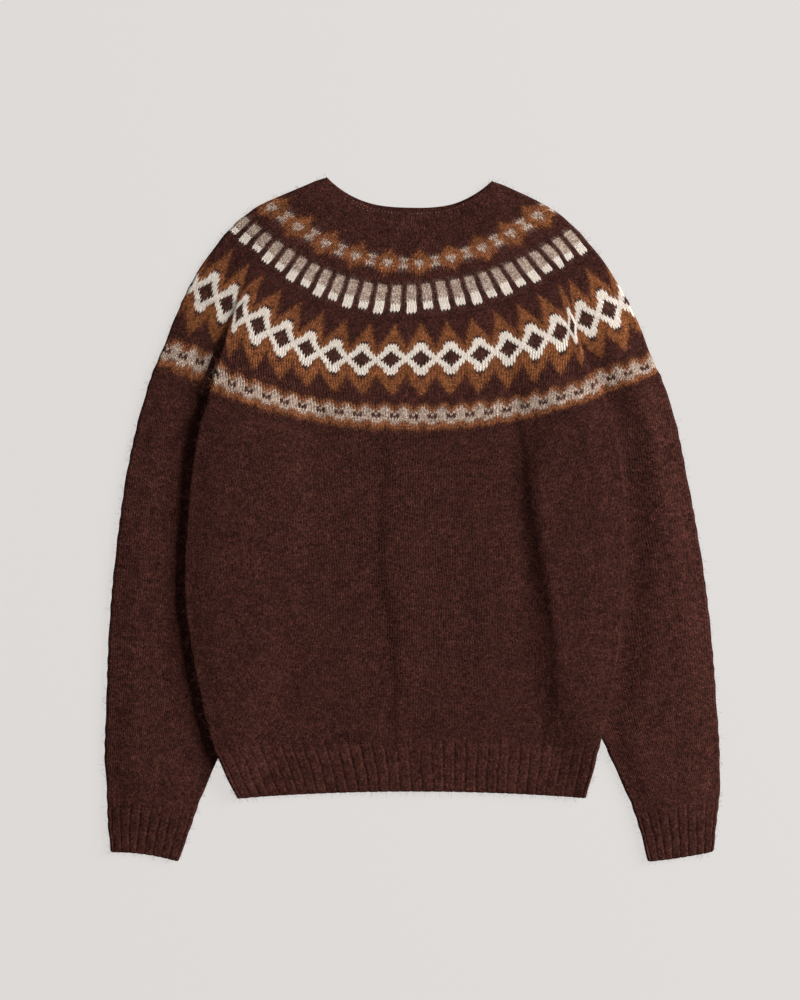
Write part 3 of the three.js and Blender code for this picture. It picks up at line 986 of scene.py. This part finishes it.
def wool(name, patterned, depth):
    """Brushed knitted wool: V stitches of a given depth, with painted shade in the valleys between
    their strands and painted light on their crests, heathered flecks and a felted nap.
    """
    n = Nodes(name)
    coordinates = n.node("TexCoord")
    n.position = coordinates.outputs["Object"]
    uv = n.node("UVMap")
    uv.uv_map = "stitches"
    split = n.node("SeparateXYZ")
    n.link(uv.outputs["UV"], split.inputs[0])
    across, down = split.outputs[0], split.outputs[1]

    # Two slanted strands to a stitch. The yoke's own faces slant already.
    aside = n.math("ABSOLUTE", n.math("SUBTRACT", n.math("FRACT", across), 0.5))
    slanted = n.math("ADD", down, n.math("MULTIPLY", aside, 0.0 if patterned else 2 * TOOTH))
    along_strand = n.math("FRACT", slanted)
    swell = n.math("POWER", n.math("SINE", n.math("MULTIPLY", along_strand, math.pi)), 0.5)
    from_strand = n.math("DIVIDE", n.math("SUBTRACT", aside, 0.25), 0.25)
    strand = n.math("SUBTRACT", 1.0, n.math("MULTIPLY", from_strand, from_strand))
    stitch = n.math("MULTIPLY", swell, strand)

    # Every stitch takes a shade of its own from the mixed wool
    cell = n.node("CombineXYZ")
    n.link(n.math("FLOOR", across), cell.inputs[0])
    n.link(n.math("FLOOR", slanted), cell.inputs[1])
    shade = n.node("TexWhiteNoise")
    shade.noise_dimensions = "2D"
    n.link(cell.outputs[0], shade.inputs["Vector"])

    dye = linear(BROWN)[:3]
    if patterned:
        sharp = n.attribute("dye")
        spread = n.attribute("dye spread")
        dye = n.mix(n.patches(*BRUSHED), sharp["Color"], spread["Color"])
        mixed_yarn = n.mix(n.patches(*HEATHER_MIX), linear(HEATHER_PALE), linear(HEATHER_BROWN))
        heather = n.math("MULTIPLY", sharp["Alpha"], HEATHER_SHARE)
        dye = n.mix(heather, dye, mixed_yarn)
    tone = n.ramp(shade.outputs["Value"], 0, 1, *STITCH_TONES)
    # The yarn's colour gets painted shade in the valleys between strands and painted light on their
    # crests
    painted_strand_shading = (1 - PAINTED_VALLEY_SHADE * depth, 1 + PAINTED_STRAND_LIGHT * depth)
    tone = n.math("MULTIPLY", tone, n.ramp(stitch, 0, 1, *painted_strand_shading))
    for row in TONES:
        tone = n.math("MULTIPLY", tone, n.patches(*row))
    if patterned:
        # Pale yarn shows less of the flecks
        pale = n.node("RGBToBW")
        n.link(dye, pale.inputs[0])
        calm = n.ramp(pale.outputs[0], *PALE_CALM)
        lively = n.math("SUBTRACT", 1.0, calm)
        tone = n.math("ADD", n.math("MULTIPLY", tone, lively), calm)
    color = n.scaled(dye, tone)
    for scale, pattern_scale, strength, brightness, tint, on_pale in FIBRES:
        clumps = n.noise(scale, 2.0, 0.6, n.scaled(n.position, pattern_scale))
        fibre = n.ramp(clumps, *FIBRE_NOISE, 0, strength)
        if patterned:
            fibre = n.math("MULTIPLY", fibre, n.ramp(pale.outputs[0], *FIBRES_FADE, 1, on_pale))
        tinted = n.mix(1.0, n.scaled(color, brightness), tint, "MULTIPLY")
        color = n.mix(fibre, color, tinted)
    n.link(color, n.shader.inputs["Base Color"])

    height = n.math("MULTIPLY", stitch, STITCH_BUMP * depth)
    for *noise, rise in (NAP_BUMP, FELT_BUMP):
        height = n.math("ADD", height, n.math("MULTIPLY", n.noise(*noise), rise))
    bump = n.node("Bump")
    set_inputs(bump, Strength=BUMP_STRENGTH, Distance=BUMP_DEPTH * MM)
    n.link(height, bump.inputs["Height"])
    n.link(n.softened(bump.outputs[0]), n.shader.inputs["Normal"])
    n.matt(SHINE)
    set_inputs(n.shader, Sheen_Weight=SHEEN, Sheen_Roughness=SHEEN_ROUGHNESS,
               Sheen_Tint=linear(SHEEN_TINT))
    return n.material


brown_wool = wool("brown wool", False, 1.0)
felted_wool = wool("felted wool", False, 0.5)
patterned_wool = wool("patterned wool", True, 1.0)

# How finely each kind of piece is knitted. Columns: wool, columns on the front and on the
# back, row step, rim, columns where the body's ribs begin
NECKBAND_KNIT = (brown_wool, 90, 90, 2.0, "start", None)
BODY_KNIT = (brown_wool, 150, 90, 3.0, None, HEM_RIBS * 11)
HEM_KNIT = (felted_wool, HEM_RIBS * 14, HEM_RIBS * 8, 3.0, "end", None)
SLEEVE_KNIT = (felted_wool, 44, 30, 3.0, None, None)
CUFF_KNIT = (felted_wool, CUFF_RIBS * 12, CUFF_RIBS * 8, 3.0, "end", None)
TUBES = (
    ("neckband", Neckband(NECKBAND_ROWS), NECKBAND_KNIT),
    ("body", Body(BODY_ROWS), BODY_KNIT),
    ("hem_rib", Hem(HEM_ROWS), HEM_KNIT),
    ("sleeve_right", Sleeve(SLEEVE_RIGHT_ROWS), SLEEVE_KNIT),
    ("sleeve_left", Sleeve(SLEEVE_LEFT_ROWS), SLEEVE_KNIT),
    ("cuff_right", Cuff(CUFF_RIGHT_ROWS), CUFF_KNIT),
    ("cuff_left", Cuff(CUFF_LEFT_ROWS), CUFF_KNIT),
)
pieces = {"yoke": knit_yoke("yoke", Yoke(YOKE_ROWS), patterned_wool)}
for name, tube, knit in TUBES:
    pieces[name] = knit_tube(name, tube, *knit)

# Hairs on CLOTH_AREA, in square metres. EDGE_HAIRS is how many more there are where the
# cloth is steeper than EDGE_SLOPE. A hair's light is a share of its yarn's colour.
HAIRS = 27000
CLOTH_AREA = 0.42
EDGE_HAIRS = 2.5
EDGE_SLOPE = 0.6
LOWEST_SLOPE = -0.3
LOWEST_HAIR = 3
HAIR_STEPS = 2
HAIR_WIDTH = 0.14
HAIR_TAPER = 0.25
HAIR_ROOT = 0.25
HAIR_LENGTHS = (2.5, 7.5)
HAIR_CURL = 0.5
HAIR_RISE = (-0.1, 0.35)
HAIR_LIGHT = (0.9, 3.0)
HAIR_GREY = 0.012
BRIGHTEST_HAIR = 0.85
PALE_YARN = (0.1, 0.5)
SHORTER_ON_PALE = 0.65


def face_values(mesh, name, width):
    values = np.zeros(len(mesh.polygons) * width)
    mesh.polygons.foreach_get(name, values)
    return values.reshape(-1, width)


def make_nap(pieces):
    """Loose hairs that lie over the brushed cloth and stand out round its edge."""
    rng = np.random.default_rng(7)
    roots, dyes = [], []
    for piece in pieces.values():
        mesh = piece.data
        count = piece["outside"]
        centres = face_values(mesh, "center", 3)[:count]
        normals = face_values(mesh, "normal", 3)[:count]
        areas = face_values(mesh, "area", 1)[:count, 0]
        seen = (normals[:, 2] > LOWEST_SLOPE) & (centres[:, 2] > LOWEST_HAIR * MM)
        chosen = np.flatnonzero(seen)
        share = areas[chosen] * (1 + EDGE_HAIRS * (normals[chosen, 2] < EDGE_SLOPE))
        number = int(HAIRS * share.sum() / CLOTH_AREA)
        picks = rng.choice(chosen, number, p=share / share.sum())
        roots.append(centres[picks] + normals[picks] * HAIR_ROOT * MM)
        if "dye" in mesh.color_attributes:
            starts = np.zeros(len(mesh.polygons), np.int32)
            mesh.polygons.foreach_get("loop_start", starts)
            colors = np.zeros(len(mesh.loops) * 4, np.float32)
            mesh.color_attributes["dye"].data.foreach_get("color", colors)
            dyes.append(colors.reshape(-1, 4)[starts[picks], :3])
        else:
            dyes.append(np.tile(linear(BROWN)[:3], (number, 1)))
    roots, dyes = np.concatenate(roots), np.concatenate(dyes)
    number = len(roots)
    heading = rng.uniform(0, 2 * np.pi, number)
    pale = smooth(dyes[:, 1], *PALE_YARN)
    length = rng.uniform(*HAIR_LENGTHS, number) * (1 - SHORTER_ON_PALE * pale) * MM
    curl = rng.normal(0, HAIR_CURL, number)
    points = np.zeros((number, HAIR_STEPS + 1, 2, 3))
    spot = roots
    for step in range(HAIR_STEPS + 1):
        turn = heading + curl * step
        along = np.column_stack([np.cos(turn), np.sin(turn), np.zeros(number)])
        across = np.column_stack([-np.sin(turn), np.cos(turn), np.zeros(number)])
        half = HAIR_WIDTH / 2 * MM * (1 - HAIR_TAPER * step / HAIR_STEPS)
        points[:, step, 0] = spot + across * half
        points[:, step, 1] = spot - across * half
        spot = spot + along * (length / HAIR_STEPS)[:, None]
        spot[:, 2] += rng.uniform(*HAIR_RISE, number) * MM
    base = np.arange(number)[:, None] * 2 * (HAIR_STEPS + 1)
    strip = np.array([(2 * k, 2 * k + 1, 2 * k + 3, 2 * k + 2) for k in range(HAIR_STEPS)])
    faces = (base[:, :, None] + strip[None]).reshape(-1, 4)
    mesh = bpy.data.meshes.new("nap")
    mesh.from_pydata(points.reshape(-1, 3).tolist(), [], faces.tolist())
    light = rng.uniform(*HAIR_LIGHT, number)[:, None]
    light = light + (1 - light) * pale[:, None]
    grey = rng.uniform(0, HAIR_GREY, number)[:, None]
    shade = np.clip(dyes * light + grey, 0, BRIGHTEST_HAIR)
    colors = np.column_stack([np.repeat(shade, 2 * (HAIR_STEPS + 1), axis=0),
                              np.ones(len(mesh.vertices))])
    attribute = mesh.color_attributes.new("dye", "FLOAT_COLOR", "POINT")
    attribute.data.foreach_set("color", colors.astype(np.float32).ravel())
    n = Nodes("nap")
    n.link(n.attribute("dye")["Color"], n.shader.inputs["Base Color"])
    n.matt()
    add_piece("nap", mesh, n.material)


make_nap(pieces)

# Columns: x of the first and the last linking stitch, distance along the neckband
LINKING_ROWS = ((-70, -12, 1.35), (-68, -45, 2.7), (2, 56, 1.35))
LINKING_PITCH = 3.7
LINKING_SHIFT = 0.5
LINKING_SIZE = 0.55
LINKING_SIZES = (0.6, 1.1)
LINKING_STRETCH = 1.2
LINKING_RIM = 0.2
LINKING_HEIGHT = 0.5


def make_linking(neckband):
    """Pale stitches that link the neckband to its own inside, along the neck's edge."""
    rng = np.random.default_rng(11)
    left, right = NECKBAND_ROWS[0, LEFT_X], NECKBAND_ROWS[0, RIGHT_X]
    points, faces = [], []
    for first, last, depth in LINKING_ROWS:
        for x in np.arange(first, last, LINKING_PITCH):
            s = np.array([(x + rng.uniform(-LINKING_SHIFT, LINKING_SHIFT) - left) / (right - left)])
            spot = neckband.surface(np.array([depth]), s, 1)[0]
            size = LINKING_SIZE * rng.uniform(*LINKING_SIZES)
            start = len(points)
            for turn in np.arange(4) * np.pi / 2:
                corner = (LINKING_STRETCH * math.cos(turn), math.sin(turn), LINKING_RIM)
                points.append(spot + size * np.array(corner))
            points.append(spot + np.array([0, 0, LINKING_HEIGHT]))
            faces += [(start + k, start + (k + 1) % 4, start + 4) for k in range(4)]
    mesh = bpy.data.meshes.new("linking_stitches")
    mesh.from_pydata((np.array(points) * MM).tolist(), [], faces)
    n = Nodes("linking yarn")
    set_inputs(n.shader, Base_Color=linear(LINKING))
    n.matt()
    add_piece("linking_stitches", mesh, n.material)


make_linking(Neckband(NECKBAND_ROWS))


# The floor is lit from within, so hardly any shadow shows on it. Metres.
FLOOR_SIZE = 8
FLOOR_Z = -0.0003
FLOOR_MATT = 0.12
FLOOR_GLOW = 0.89


def make_floor():
    bpy.ops.mesh.primitive_plane_add(size=FLOOR_SIZE, location=(0, 0, FLOOR_Z))
    floor = bpy.context.object
    floor.name = "floor"
    n = Nodes("floor")
    matt_color = tuple(FLOOR_MATT * c for c in linear(FLOOR)[:3])
    n.matt()
    set_inputs(n.shader, Base_Color=(*matt_color, 1), Emission_Color=linear(FLOOR),
               Emission_Strength=FLOOR_GLOW)
    floor.data.materials.append(n.material)


# The light, in metres and watts
KEY_PLACE = (4.6, 1.6, 2.5)
KEY_SIZE = 3.0
KEY_POWER = 560
SKY = 0.14


def make_lights():
    world = bpy.data.worlds.new("studio")
    world.use_nodes = True
    set_inputs(world.node_tree.nodes["Background"], Color=(1, 1, 1, 1), Strength=SKY)
    bpy.context.scene.world = world
    key = bpy.data.lights.new("key", "AREA")
    key.energy = KEY_POWER
    key.size = KEY_SIZE
    lamp = add_object("key", key)
    lamp.location = KEY_PLACE
    lamp.rotation_euler = (-Vector(KEY_PLACE)).to_track_quat("-Z", "Y").to_euler()


# The camera looks straight down at AIM, with FRAME_HEIGHT in its long side. Metres, and
# the sensor in millimetres.
CAMERA_HEIGHT = 3.4
FRAME_HEIGHT = 1.1
SENSOR = 36
AIM = (-0.01375, 0.02035, 0.006)


def make_camera():
    data = bpy.data.cameras.new("camera")
    data.sensor_width = SENSOR
    data.lens = SENSOR * CAMERA_HEIGHT / FRAME_HEIGHT
    camera = add_object("camera", data)
    camera.location = (AIM[0], AIM[1], AIM[2] + CAMERA_HEIGHT)
    bpy.context.scene.camera = camera


make_floor()
make_lights()
make_camera()
bpy.context.scene.view_settings.view_transform = "Standard"

bpy.context.view_layer.update()
